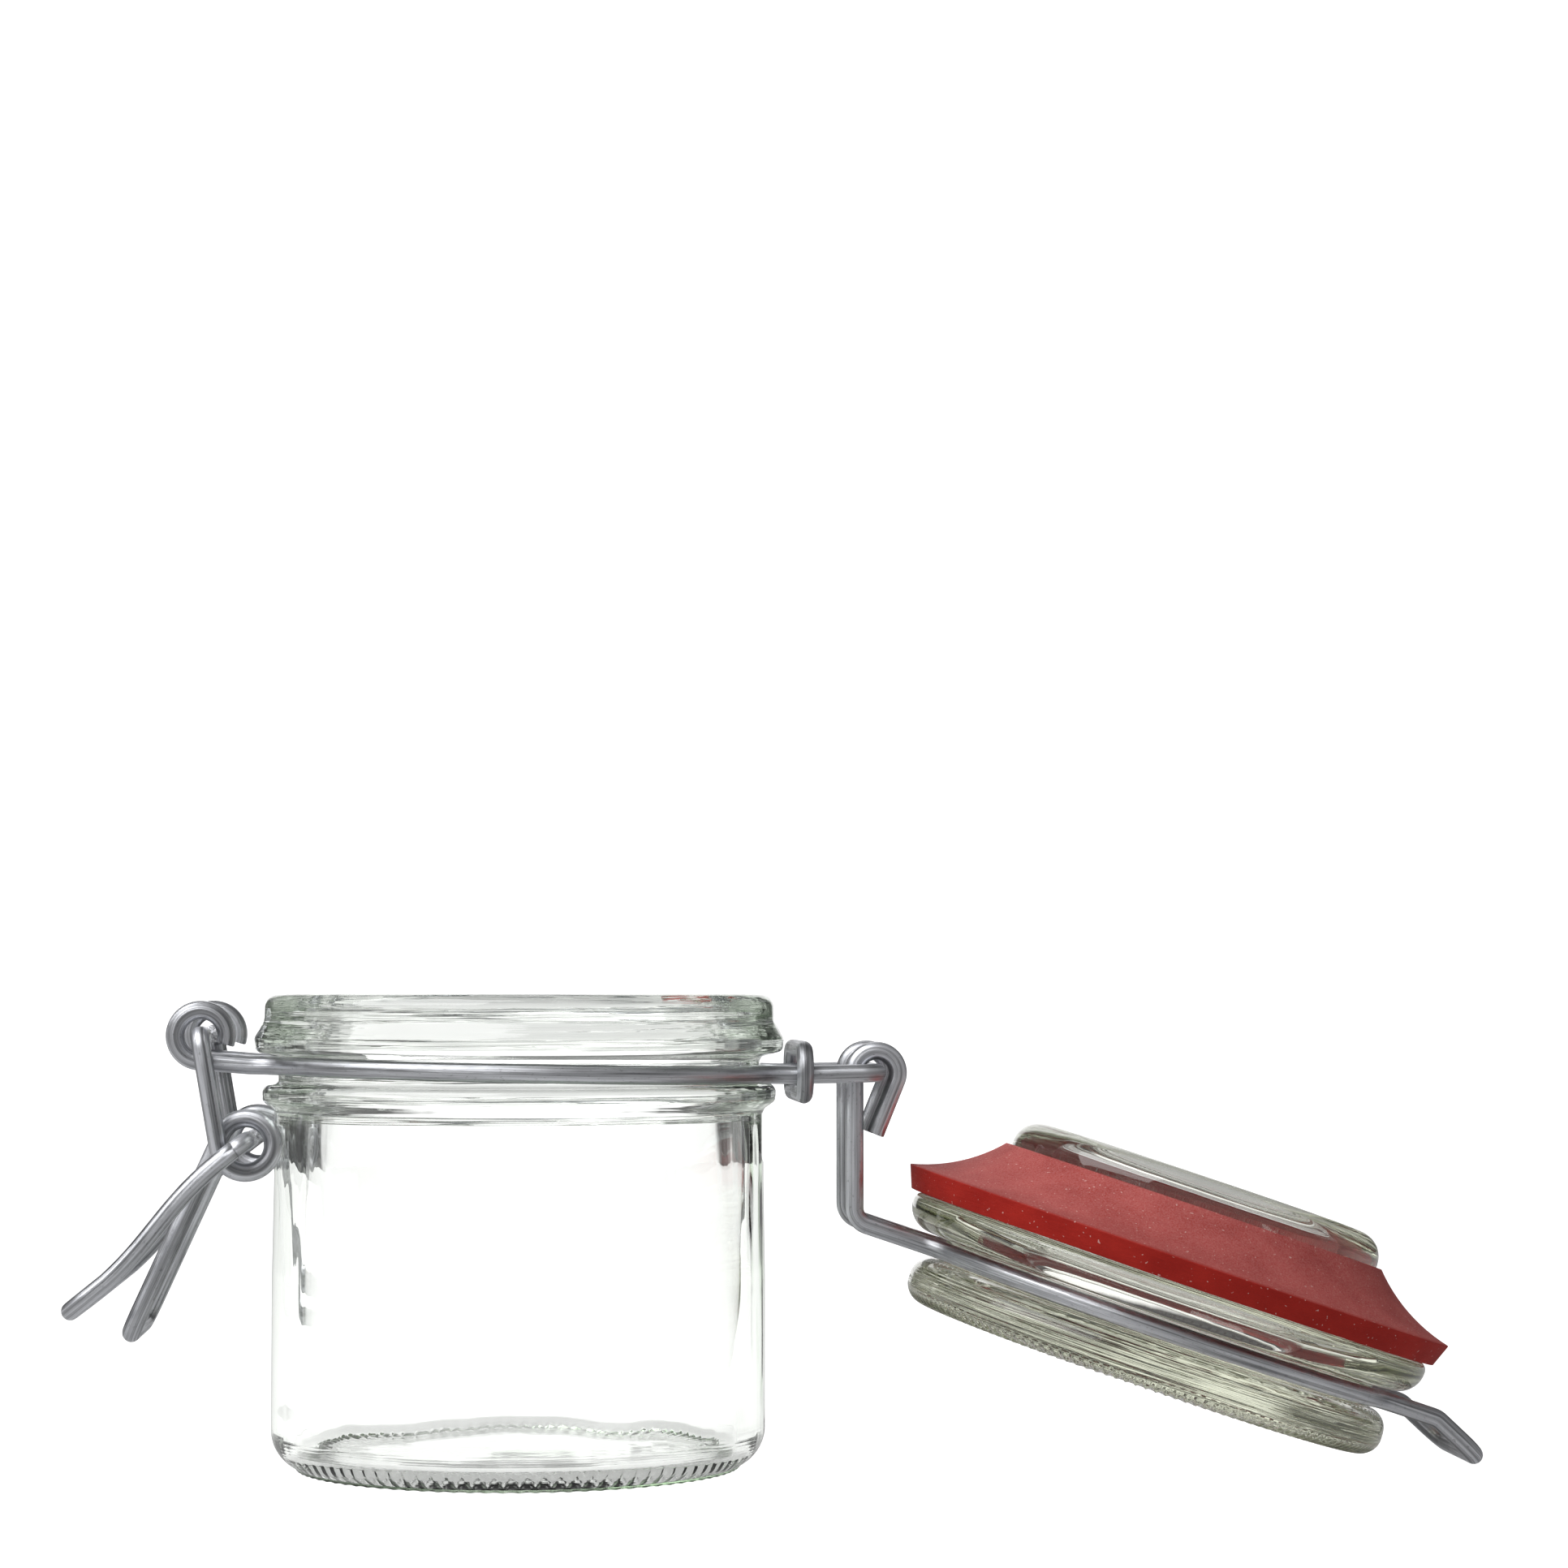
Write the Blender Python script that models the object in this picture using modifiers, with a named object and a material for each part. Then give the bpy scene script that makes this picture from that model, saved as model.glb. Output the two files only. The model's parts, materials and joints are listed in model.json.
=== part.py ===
"""Bail clamp jar: a small glass preserving jar with a hinged glass lid and a wire closure.

The jar stands on z = 0 with its lid swung open to +X until the lid wire's tongue rests on
the same surface.  The closing lever and its bail hang at -X.  Metres, +Z up.
"""
import math

import bpy
from mathutils import Vector

MM = 0.001

# Driving dimensions, millimetres.  Heights are above the surface the jar stands on and
# radii are from the jar's axis, unless a comment says otherwise.
AXIS_X = -32.81            # the jar's axis, placed so that the whole assembly is centred on x = 0
STEPS = 56                 # facets round the turned pieces

# Jar
FOOT_INNER_R = 25.0        # the foot is a flat ring round a shallow push-up
FOOT_OUTER_R = 27.9
HEEL_R = 5.0
BODY_R = 31.0
SHOULDER_R = 30.8
BEAD_R = 32.4              # lower bead of the neck groove
BEAD_Z = 46.75
GROOVE_R = 30.4
FLARE_R = 33.3             # upper bead of the neck groove
FLARE_Z = 52.95
FINISH_R = 32.2
RIM_Z = 59.3
RIM_ROUND = 1.7
MOUTH_R = 27.7
MOUTH_ROUND = 2.6
BORE_R = 28.0
FLOOR_Z = 1.8
FLOOR_ROUND = 2.6          # between the inner floor and the bore
FLOOR_RISE = 0.7           # the inner floor is slightly domed
PUSH_UP = 0.7
BELLY_Z = 24.0             # the body is widest from here down to the heel
BORE_TOP_Z = 40.0          # the bore narrows from here
NECK_BORE_Z = 47.0         # to the mouth's radius here

# Wires
WIRE_R = 1.15
TIE_WIRE_R = 1.05
FILLET = 5.0               # in-plane bend where a wire leaves a ring

# Neck wire
NECK_RING_R = 31.85
NECK_RING_Z = 49.9
NECK_RING_FALL = 0.02      # the ring falls this much per unit of x
HINGE_X = 44.6             # from the jar's axis
HINGE_Z = 49.45
HINGE_ARM_Y = 9.8
HINGE_BEND = 1.9
EYE_X = -39.3              # from the jar's axis
EYE_Z = 54.2
EYE_R = 3.15
EYE_Y = 10.8
EYE_END_DEG = -20.0        # where the eye's free end stops, from +x

# Tie ring round the two hinge arms
TIE_X = 35.3
TIE_HALF_W = 12.35
TIE_HALF_H = 2.85
TIE_GAP = 0.5
TIE_RISE = 0.12            # the link's middle above the hinge axis

# Lid, in its own frame: heights are above the hinge axis with the lid closed
LID_OPEN_DEG = 198.7       # from closed to resting on the tongue
PLUG_R = 24.6
PLUG_FOOT_R = 24.3
PLUG_LOW = -0.8
PLUG_ROUND = 3.4
SEAT = 12.5
SEAT_ROUND = 1.0
FLANGE_R = 34.1
FLANGE_ROUND = 3.3
FLANGE_TOP = 16.95
LID_GROOVE_R = 28.4
KNOB_LOW = 19.95
KNOB_R = 31.5
KNOB_TOP = 25.85
KNOB_ROUND = 2.6
KNOB_PANEL_R = 24.0
KNOB_PANEL_DEPTH = 0.8
HOLLOW_R = 20.4
HOLLOW_TOP_R = 18.6
HOLLOW_TOP = 16.2
HOLLOW_ROUND = 4.0

# Sealing ring, relaxed into the dish it takes when it rides up on the plug
SEAL_IN_R = 24.9
SEAL_TIP = 2.85
SEAL_TIP_LOW = 6.1
SEAL_OUT_R = 35.9
SEAL_OUT_LOW_R = 34.75
SEAL_OUT = 9.5
SEAL_OUT_LOW = 12.45
SEAL_TOP_CURVE = 20.9
SEAL_LOW_CURVE = 24.0

# Lid wire, in the lid's frame
LID_RING_R = 30.0
LID_RING_H = 18.45
LEG_Y = 6.7
HOOK_R = 2.75
HOOK_TAIL_DEG = 22.0
HOOK_TAIL = 7.2
LEG_BEND = 2.3
TONGUE_Y = 10.0
TONGUE_BEND_U = 80.5
TONGUE_TIP_U = 87.1
TONGUE_REST_Z = 1.2        # centre of the tongue's bar above the surface, lid open
TONGUE_CORNER = 3.2
TONGUE_KNEE = 2.6

# Closing lever and bail
COIL_X = -33.6             # from the jar's axis
COIL_Z = 40.75
COIL_R = 3.3
LEVER_ARM_Y = 13.4
HANDLE_Y = 10.8
HANDLE_END_X = -47.7
HANDLE_END_Z = 17.6
HANDLE_CORNER = 3.0
PIN_BEND = 1.7
LEVER_PIN_Y = 8.7
BAIL_PIVOT_RISE = 0.5      # the bail's pins sit this far above the coils' centres
BAIL_Y = 16.0
BAIL_PIN_Y = 9.4
BAIL_LENGTH = 29.4
BAIL_REST_DEG = 224.3
BAIL_WAVE = 0.6
BAIL_CORNER = 3.2


# ---------------------------------------------------------------- scene helpers

def clear_scene():
    for obj in list(bpy.data.objects):
        bpy.data.objects.remove(obj, do_unlink=True)


def make_collection(name):
    coll = bpy.data.collections.new(name)
    bpy.context.scene.collection.children.link(coll)
    return coll


def make_material(name, color, metallic, roughness, transmission=0.0):
    mat = bpy.data.materials.new(name)
    mat.use_nodes = True
    bsdf = mat.node_tree.nodes["Principled BSDF"]
    bsdf.inputs["Base Color"].default_value = color
    bsdf.inputs["Metallic"].default_value = metallic
    bsdf.inputs["Roughness"].default_value = roughness
    bsdf.inputs["Transmission Weight"].default_value = transmission
    bsdf.inputs["IOR"].default_value = 1.5
    mat.diffuse_color = color
    return mat


def pivot(name, x, z, tilt_deg, coll, parent=None):
    """An empty on a joint axis that runs along y; its own frame is tilted about y."""
    empty = bpy.data.objects.new(name, None)
    empty.empty_display_size = 5 * MM
    coll.objects.link(empty)
    empty.location = (x * MM, 0.0, z * MM)
    empty.rotation_euler = (0.0, math.radians(tilt_deg), 0.0)
    if parent:
        empty.parent = parent
    return empty


def finish(obj, mat, coll, parent, x=0.0, z=0.0):
    obj.data.materials.append(mat)
    coll.objects.link(obj)
    obj.location = (x * MM, 0.0, z * MM)
    if parent:
        obj.parent = parent
    return obj


# ---------------------------------------------------------------- geometry helpers

def arc(cx, cz, radius, start_deg, end_deg, count):
    """Points on an arc, both ends included."""
    pts = []
    for i in range(count + 1):
        a = math.radians(start_deg + (end_deg - start_deg) * i / count)
        pts.append((cx + radius * math.cos(a), cz + radius * math.sin(a)))
    return pts


def arc_through(p, q, radius, count):
    """The arc from p to q that bulges to the left of the way from p to q."""
    mx, mz = (p[0] + q[0]) / 2, (p[1] + q[1]) / 2
    dx, dz = q[0] - p[0], q[1] - p[1]
    half = math.hypot(dx, dz) / 2
    rise = math.sqrt(radius * radius - half * half)
    cx, cz = mx + rise * dz / (2 * half), mz - rise * dx / (2 * half)
    a0 = math.degrees(math.atan2(p[1] - cz, p[0] - cx))
    a1 = math.degrees(math.atan2(q[1] - cz, q[0] - cx))
    sweep = (a1 - a0 + 180.0) % 360.0 - 180.0
    return arc(cx, cz, radius, a0, a0 + sweep, count)


def turned(name, profile, closed, mat, coll, parent=None, x=0.0, z=0.0):
    """Revolve a profile of (radius, height) pairs about the object's z axis."""
    mesh = bpy.data.meshes.new(name)
    verts = [(r * MM, 0.0, h * MM) for r, h in profile]
    edges = [(i, i + 1) for i in range(len(verts) - 1)]
    if closed:
        edges.append((len(verts) - 1, 0))
    mesh.from_pydata(verts, edges, [])
    obj = finish(bpy.data.objects.new(name, mesh), mat, coll, parent, x, z)
    screw = obj.modifiers.new("turn", "SCREW")
    screw.axis = "Z"
    screw.angle = math.tau
    screw.steps = STEPS
    screw.render_steps = STEPS
    screw.use_merge_vertices = True
    screw.merge_threshold = 1e-5
    screw.use_smooth_shade = True
    return obj


def tube(name, pts, radius, mat, coll, parent=None):
    """A round wire along a list of (x, y, z) points, closed by flat ends."""
    curve = bpy.data.curves.new(name, "CURVE")
    curve.dimensions = "3D"
    curve.bevel_depth = radius * MM
    curve.bevel_resolution = 2
    curve.use_fill_caps = True
    spline = curve.splines.new("POLY")
    spline.points.add(len(pts) - 1)
    spline.use_smooth = True
    for point, (px, py, pz) in zip(spline.points, pts):
        point.co = (px * MM, py * MM, pz * MM, 1.0)
    return finish(bpy.data.objects.new(name, curve), mat, coll, parent)


def bend(before, corner, after, radius, step_deg=15.0):
    """Round a corner of a wire's path: the points of the bend that replace it."""
    a, b, c = Vector(before), Vector(corner), Vector(after)
    back = (a - b).normalized()
    ahead = (c - b).normalized()
    turn = math.pi - back.angle(ahead)
    reach = radius * math.tan(turn / 2)
    start = b + back * reach
    side = (ahead - back * ahead.dot(back)).normalized()
    centre = start + side * radius
    count = max(2, math.ceil(math.degrees(turn) / step_deg))
    pts = []
    for i in range(count + 1):
        t = turn * i / count
        pts.append(tuple(centre - side * radius * math.cos(t) - back * radius * math.sin(t)))
    return pts


def mirrored(half):
    """A whole path from the half that starts on the y = 0 plane and lies at +y."""
    other = [(px, -py, pz) for px, py, pz in half[1:]]
    return list(reversed(other)) + half


def thin(pts, least=0.02):
    """The same path without points that repeat."""
    out = [pts[0]]
    for p in pts[1:]:
        if (Vector(p) - Vector(out[-1])).length > least:
            out.append(p)
    return out


# ---------------------------------------------------------------- glass and rubber

def jar_profile():
    """From the middle of the inner floor, up the bore, over the rim and down to the foot."""
    pts = [(0.0, FLOOR_Z + FLOOR_RISE), (12.0, FLOOR_Z + 0.7 * FLOOR_RISE)]
    pts += arc(BORE_R - FLOOR_ROUND, FLOOR_Z + FLOOR_ROUND, FLOOR_ROUND, -90, 0, 5)
    pts += [(BORE_R, BELLY_Z), (BORE_R, BORE_TOP_Z), (MOUTH_R, NECK_BORE_Z)]
    pts += arc(MOUTH_R + MOUTH_ROUND, RIM_Z - MOUTH_ROUND, MOUTH_ROUND, 180, 90, 4)
    pts += arc(FINISH_R - 0.2 - RIM_ROUND, RIM_Z - RIM_ROUND, RIM_ROUND, 90, 0, 4)
    pts += [(FINISH_R, 56.2), (32.5, 55.1), (33.2, 53.9)]
    pts += arc(FLARE_R - 0.9, FLARE_Z, 0.9, 20, -80, 4)
    pts += [(31.2, 51.85), (GROOVE_R, 51.3), (GROOVE_R, 48.5), (30.8, 47.95)]
    pts += arc(BEAD_R - 1.1, BEAD_Z, 1.1, 80, -45, 4)
    pts += [(31.3, 45.2), (SHOULDER_R, 44.5), (SHOULDER_R, 36.0), (BODY_R, BELLY_Z)]
    pts += arc(BODY_R - HEEL_R, HEEL_R, HEEL_R, 0, -68, 5)
    pts += [(FOOT_OUTER_R, 0.0), (FOOT_INNER_R, 0.0), (FOOT_INNER_R - 1.2, 0.3)]
    pts += [(18.0, PUSH_UP - 0.1), (0.0, PUSH_UP)]
    return pts


def lid_profile():
    """From the middle of the knob's top, down the outside and up inside the hollow plug."""
    pts = [(0.0, KNOB_TOP - KNOB_PANEL_DEPTH), (KNOB_PANEL_R, KNOB_TOP - KNOB_PANEL_DEPTH)]
    pts += [(KNOB_PANEL_R + 1.0, KNOB_TOP)]
    pts += arc(KNOB_R - KNOB_ROUND, KNOB_TOP - KNOB_ROUND, KNOB_ROUND, 90, 0, 4)
    pts += arc(KNOB_R - KNOB_ROUND, KNOB_LOW + KNOB_ROUND, KNOB_ROUND, 0, -90, 4)
    pts += [(LID_GROOVE_R, KNOB_LOW), (LID_GROOVE_R, FLANGE_TOP)]
    pts += arc(FLANGE_R - FLANGE_ROUND, FLANGE_TOP - FLANGE_ROUND, FLANGE_ROUND, 90, 0, 5)
    pts += arc(FLANGE_R - SEAT_ROUND, SEAT + SEAT_ROUND, SEAT_ROUND, 0, -90, 3)
    pts += [(PLUG_R, SEAT)]
    pts += arc(PLUG_FOOT_R - PLUG_ROUND, PLUG_LOW + PLUG_ROUND, PLUG_ROUND, 0, -90, 5)
    pts += [(HOLLOW_R, PLUG_LOW + 0.35), (HOLLOW_R - 0.5, PLUG_LOW + 1.3)]
    pts += arc(HOLLOW_TOP_R - HOLLOW_ROUND, HOLLOW_TOP - HOLLOW_ROUND, HOLLOW_ROUND, 0, 90, 4)
    pts += [(0.0, HOLLOW_TOP)]
    return pts


def seal_profile():
    """A closed outline, down the outer edge first."""
    tip = (SEAL_IN_R, SEAL_TIP)
    tip_low = (SEAL_IN_R, SEAL_TIP_LOW)
    out = (SEAL_OUT_R, SEAL_OUT)
    out_low = (SEAL_OUT_LOW_R, SEAL_OUT_LOW)
    jar_side = arc_through(tip, out, SEAL_TOP_CURVE, 6)
    lid_side = arc_through(tip_low, out_low, SEAL_LOW_CURVE, 5)
    return list(reversed(jar_side)) + lid_side


# ---------------------------------------------------------------- wires

def neck_z(x):
    return NECK_RING_Z - NECK_RING_FALL * x


def ring_exit(radius, y):
    """Where a fillet joins a ring to a straight wire at the given y: centre x, ring angle."""
    reach = radius + FILLET
    cx = math.sqrt(reach * reach - (y + FILLET) ** 2)
    return cx, math.degrees(math.asin((y + FILLET) / reach))


def neck_wire_path():
    """Half of the neck wire: hinge bar, arm, half ring, front arm and eye."""
    pts = [(HINGE_X, 0.0, HINGE_Z)]
    corner = (HINGE_X, HINGE_ARM_Y, HINGE_Z)
    back_x, back_deg = ring_exit(NECK_RING_R, HINGE_ARM_Y)
    arm_end = (back_x, HINGE_ARM_Y, neck_z(back_x))
    pts += bend(pts[0], corner, arm_end, HINGE_BEND)
    for px, py in arc(back_x, HINGE_ARM_Y + FILLET, FILLET, 270, 180 + back_deg, 4):
        pts.append((px, py, neck_z(px)))
    front_x, front_deg = ring_exit(NECK_RING_R, EYE_Y)
    for px, py in arc(0.0, 0.0, NECK_RING_R, back_deg, 180 - front_deg, 18):
        pts.append((px, py, neck_z(px)))
    for px, py in arc(-front_x, EYE_Y + FILLET, FILLET, -front_deg, -90, 4):
        pts.append((px, py, neck_z(px)))
    # The arm meets the eye on a tangent, then the eye winds over the top.
    dx, dz = EYE_X + front_x, EYE_Z - neck_z(-front_x)
    heading = math.degrees(math.atan2(dz, dx) + math.asin(EYE_R / math.hypot(dx, dz)))
    for px, pz in arc(EYE_X, EYE_Z, EYE_R, heading + 90, EYE_END_DEG, 20):
        pts.append((px, EYE_Y, pz))
    return thin(pts)


def tie_path():
    """An oblong link round both hinge arms, its two ends butting underneath."""
    z = HINGE_Z + TIE_RISE
    pts = [(TIE_X, -TIE_GAP / 2, z - TIE_HALF_H)]
    straight = TIE_HALF_W - TIE_HALF_H
    for py, pz in arc(-straight, z, TIE_HALF_H, 270, 90, 10):
        pts.append((TIE_X, py, pz))
    for py, pz in arc(straight, z, TIE_HALF_H, 90, -90, 10):
        pts.append((TIE_X, py, pz))
    pts.append((TIE_X, TIE_GAP / 2, z - TIE_HALF_H))
    return thin(pts)


def tongue_tip_height():
    """Height in the lid's frame that puts the tongue's bar on the surface when open."""
    tilt = math.radians(LID_OPEN_DEG - 180.0)
    return (HINGE_Z - TONGUE_REST_Z - TONGUE_TIP_U * math.sin(tilt)) / math.cos(tilt)


def lid_wire_path():
    """Half of the lid wire in the lid's frame: tongue, half ring, leg and hinge hook."""
    tip = (-TONGUE_TIP_U, 0.0, tongue_tip_height())
    corner = (tip[0], TONGUE_Y, tip[2])
    knee = (-TONGUE_BEND_U, TONGUE_Y, LID_RING_H)
    front_x, front_deg = ring_exit(LID_RING_R, TONGUE_Y)
    arm = (-HINGE_X - front_x, TONGUE_Y, LID_RING_H)
    pts = [tip]
    pts += bend(tip, corner, knee, TONGUE_CORNER)
    pts += bend(corner, knee, arm, TONGUE_KNEE)
    for px, py in arc(arm[0], TONGUE_Y + FILLET, FILLET, -90, -front_deg, 4):
        pts.append((px, py, LID_RING_H))
    back_x, back_deg = ring_exit(LID_RING_R, LEG_Y)
    for px, py in arc(-HINGE_X, 0.0, LID_RING_R, 180 - front_deg, back_deg, 18):
        pts.append((px, py, LID_RING_H))
    for px, py in arc(-HINGE_X + back_x, LEG_Y + FILLET, FILLET, 180 + back_deg, 270, 4):
        pts.append((px, py, LID_RING_H))
    # The leg is tangent to the hook and stands upright while the lid is open.
    lean = math.radians(LID_OPEN_DEG - 180.0)
    top = (HOOK_R * math.cos(lean), LEG_Y, HOOK_R * math.sin(lean))
    run = (LID_RING_H - top[2]) / math.cos(lean)
    knee = (top[0] - run * math.sin(lean), LEG_Y, LID_RING_H)
    pts += bend(pts[-1], knee, top, LEG_BEND)
    start = LID_OPEN_DEG - 180.0
    stop = start - 180.0 - HOOK_TAIL_DEG
    for px, pz in arc(0.0, 0.0, HOOK_R, start, stop, 14):
        pts.append((px, LEG_Y, pz))
    a = math.radians(stop)
    px, pz = HOOK_R * math.cos(a), HOOK_R * math.sin(a)
    pts.append((px + HOOK_TAIL * math.sin(a), LEG_Y, pz - HOOK_TAIL * math.cos(a)))
    return thin(pts)


def lever_path():
    """Half of the closing lever about its pivot: handle bar, coil, arm and pin."""
    kx, kz = COIL_X - EYE_X, COIL_Z - EYE_Z
    hx, hz = HANDLE_END_X - EYE_X, HANDLE_END_Z - EYE_Z
    # Both the handle and the arm leave the coil on tangents.
    dx, dz = hx - kx, hz - kz
    end = math.degrees(math.atan2(dz, dx) - math.acos(COIL_R / math.hypot(dx, dz)))
    begin = math.degrees(math.atan2(-kz, -kx) + math.acos(COIL_R / math.hypot(kx, kz)))
    sweep = (end - begin) % 360.0
    leave = math.radians(begin + sweep)
    off = (kx + COIL_R * math.cos(leave), HANDLE_Y, kz + COIL_R * math.sin(leave))
    bar = (hx, 0.0, hz)
    pts = [bar]
    pts += bend(bar, (hx, HANDLE_Y, hz), off, HANDLE_CORNER)
    count = 24
    for i in range(count + 1):
        part = i / count
        a = math.radians(begin + sweep * (1 - part))
        y = HANDLE_Y + (LEVER_ARM_Y - HANDLE_Y) * part
        pts.append((kx + COIL_R * math.cos(a), y, kz + COIL_R * math.sin(a)))
    pin = (0.0, LEVER_PIN_Y, 0.0)
    pts += bend(pts[-1], (0.0, LEVER_ARM_Y, 0.0), pin, PIN_BEND)
    pts.append(pin)
    return thin(pts)


def bail_path():
    """Half of the bail about its pivot: bar, gently waved arm and pin."""
    a = math.radians(BAIL_REST_DEG)
    ax, az = math.cos(a), math.sin(a)
    bar = (BAIL_LENGTH * ax, 0.0, BAIL_LENGTH * az)
    corner = (bar[0], BAIL_Y, bar[2])
    arm = []
    for i in range(9, 0, -1):
        along = BAIL_LENGTH * i / 10
        off = BAIL_WAVE * math.sin(math.tau * i / 10)
        arm.append((along * ax + off * az, BAIL_Y, along * az - off * ax))
    pts = [bar]
    pts += bend(bar, corner, arm[1], BAIL_CORNER)
    pts += arm[1:]
    pin = (0.0, BAIL_PIN_Y, 0.0)
    pts += bend(arm[-1], (0.0, BAIL_Y, 0.0), pin, PIN_BEND)
    pts.append(pin)
    return thin(pts)


# ---------------------------------------------------------------- assembly

def build():
    clear_scene()
    coll = make_collection("bail_clamp_jar")
    jar_glass = make_material("jar_glass", (0.86, 0.91, 0.88, 1.0), 0.0, 0.03, 1.0)
    lid_glass = make_material("lid_glass", (0.86, 0.91, 0.87, 1.0), 0.0, 0.03, 1.0)
    seal_rubber = make_material("seal_rubber", (0.62, 0.14, 0.12, 1.0), 0.0, 0.75)
    neck_steel = make_material("neck_wire_steel", (0.55, 0.56, 0.58, 1.0), 1.0, 0.35)
    tie_steel = make_material("tie_ring_steel", (0.60, 0.61, 0.62, 1.0), 1.0, 0.38)
    lid_steel = make_material("lid_wire_steel", (0.55, 0.56, 0.58, 1.0), 1.0, 0.35)
    lever_steel = make_material("lever_steel", (0.56, 0.57, 0.58, 1.0), 1.0, 0.35)
    bail_steel = make_material("bail_steel", (0.56, 0.57, 0.58, 1.0), 1.0, 0.35)

    jar = pivot("jar_axis", AXIS_X, 0.0, 0.0, coll)
    turned("glass_jar", jar_profile(), False, jar_glass, coll, jar)
    tube("neck_wire", mirrored(neck_wire_path()), WIRE_R, neck_steel, coll, jar)
    tube("tie_ring", tie_path(), TIE_WIRE_R, tie_steel, coll, jar)

    lid = pivot("lid_hinge_axis", AXIS_X + HINGE_X, HINGE_Z, LID_OPEN_DEG, coll)
    turned("glass_lid", lid_profile(), False, lid_glass, coll, lid, -HINGE_X)
    turned("sealing_ring", seal_profile(), True, seal_rubber, coll, lid, -HINGE_X)
    tube("lid_wire", mirrored(lid_wire_path()), WIRE_R, lid_steel, coll, lid)

    lever = pivot("lever_axis", AXIS_X + EYE_X, EYE_Z, 0.0, coll)
    tube("closing_lever", mirrored(lever_path()), WIRE_R, lever_steel, coll, lever)
    bail = pivot("bail_axis", AXIS_X + COIL_X, COIL_Z + BAIL_PIVOT_RISE, 0.0, coll)
    tube("bail", mirrored(bail_path()), WIRE_R, bail_steel, coll, bail)


build()
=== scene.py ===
"""The looks of the bail clamp jar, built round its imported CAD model.

Lengths are millimetres here and become metres where a mesh is made.  Heights of the lid's
own pieces are above the hinge axis with the lid closed, as in the CAD source.
"""

import json
import math

import bpy
from mathutils import Matrix, Vector, noise


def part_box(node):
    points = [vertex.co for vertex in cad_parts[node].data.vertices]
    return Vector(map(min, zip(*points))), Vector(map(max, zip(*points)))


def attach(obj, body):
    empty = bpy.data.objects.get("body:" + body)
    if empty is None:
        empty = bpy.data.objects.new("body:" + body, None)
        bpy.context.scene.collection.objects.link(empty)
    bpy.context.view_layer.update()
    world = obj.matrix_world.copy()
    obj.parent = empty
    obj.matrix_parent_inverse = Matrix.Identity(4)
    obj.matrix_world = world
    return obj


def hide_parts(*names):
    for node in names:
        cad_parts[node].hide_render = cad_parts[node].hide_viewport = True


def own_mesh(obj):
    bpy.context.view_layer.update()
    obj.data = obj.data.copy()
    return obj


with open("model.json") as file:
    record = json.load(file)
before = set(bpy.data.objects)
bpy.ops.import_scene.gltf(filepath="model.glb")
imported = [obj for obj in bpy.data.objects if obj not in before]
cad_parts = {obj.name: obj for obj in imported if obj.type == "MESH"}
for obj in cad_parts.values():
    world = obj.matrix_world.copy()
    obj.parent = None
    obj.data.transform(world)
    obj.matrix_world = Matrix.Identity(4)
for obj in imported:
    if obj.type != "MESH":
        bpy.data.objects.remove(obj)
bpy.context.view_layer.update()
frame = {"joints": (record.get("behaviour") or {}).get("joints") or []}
MM = 0.001


# ---------------------------------------------------------------- places read from the frame

def joint_place(name):
    """A joint's x and z, millimetres."""
    pos = next(j["pos_m"] for j in frame["joints"] if j["name"] == name)
    return pos[0] / MM, pos[2] / MM


def joint_travel(name):
    return next(j["range_deg"][1] for j in frame["joints"] if j["name"] == name)


JAR_LOW, JAR_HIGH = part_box("glass_jar")
AXIS_X = (JAR_LOW.x + JAR_HIGH.x) / 2 / MM
RIM_Z = JAR_HIGH.z / MM
HINGE_WORLD_X, HINGE_Z = joint_place("lid_hinge")
HINGE_X = HINGE_WORLD_X - AXIS_X
EYE_WORLD_X, EYE_Z = joint_place("lever_pivot")
EYE_X = EYE_WORLD_X - AXIS_X
BAIL_WORLD_X, BAIL_Z = joint_place("bail_pivot")
LID_OPEN_DEG = joint_travel("lid_hinge")

# ---------------------------------------------------------------- driving dimensions

# Jar: radii from its axis, heights above the surface it stands on
BODY_R = 31.0
SHOULDER_R = 30.8
HEEL_R = 5.0
FOOT_R = 25.0
FOOT_OUTER_R = 27.9
BORE_R = 28.0
BORE_TOP_Z = 40.0
MOUTH_R = 27.7
NECK_BORE_Z = 47.0
MOUTH_ROUND = 2.6
FLOOR_Z = 1.8
FLOOR_ROUND = 2.6
PUSH_UP = 0.7
BELLY_Z = 24.0
FINISH_R = 32.2
RIM_ROUND = 1.7
GROOVE_R = 30.4
FOOT_RIBS = 88
FOOT_RIB_DEPTH = 0.34
JAR_STEPS = 176

# Lid
PLUG_R = 24.6
PLUG_FOOT_R = 24.3
PLUG_LOW = -0.8
PLUG_ROUND = 3.4
SEAT = 12.5
FLANGE_R = 34.1
FLANGE_TOP = 16.95
FLANGE_ROUND = 3.3
SEAT_ROUND = 1.0
LID_GROOVE_R = 28.4
KNOB_LOW = 19.95
KNOB_R = 31.5
KNOB_TOP = 25.85
KNOB_ROUND = 2.6
PANEL_R = 24.0
PANEL_DEPTH = 0.8
HOLLOW_R = 20.4
HOLLOW_TOP_R = 18.6
HOLLOW_TOP = 16.2
HOLLOW_ROUND = 4.0
KNOB_RIBS = 144
KNOB_RIB_DEPTH = 0.32
MOULD_SEAMS_DEG = (267.0, 87.0)
LID_STEPS = 216

# Sealing ring
SEAL_IN_R = 24.9
SEAL_TIP = 2.85
SEAL_TIP_LOW = 6.1
SEAL_OUT_R = 35.9
SEAL_OUT_LOW_R = 34.75
SEAL_OUT = 9.5
SEAL_OUT_LOW = 12.45
SEAL_TOP_CURVE = 20.9
SEAL_LOW_CURVE = 24.0
SEAL_STEPS = 288

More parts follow.
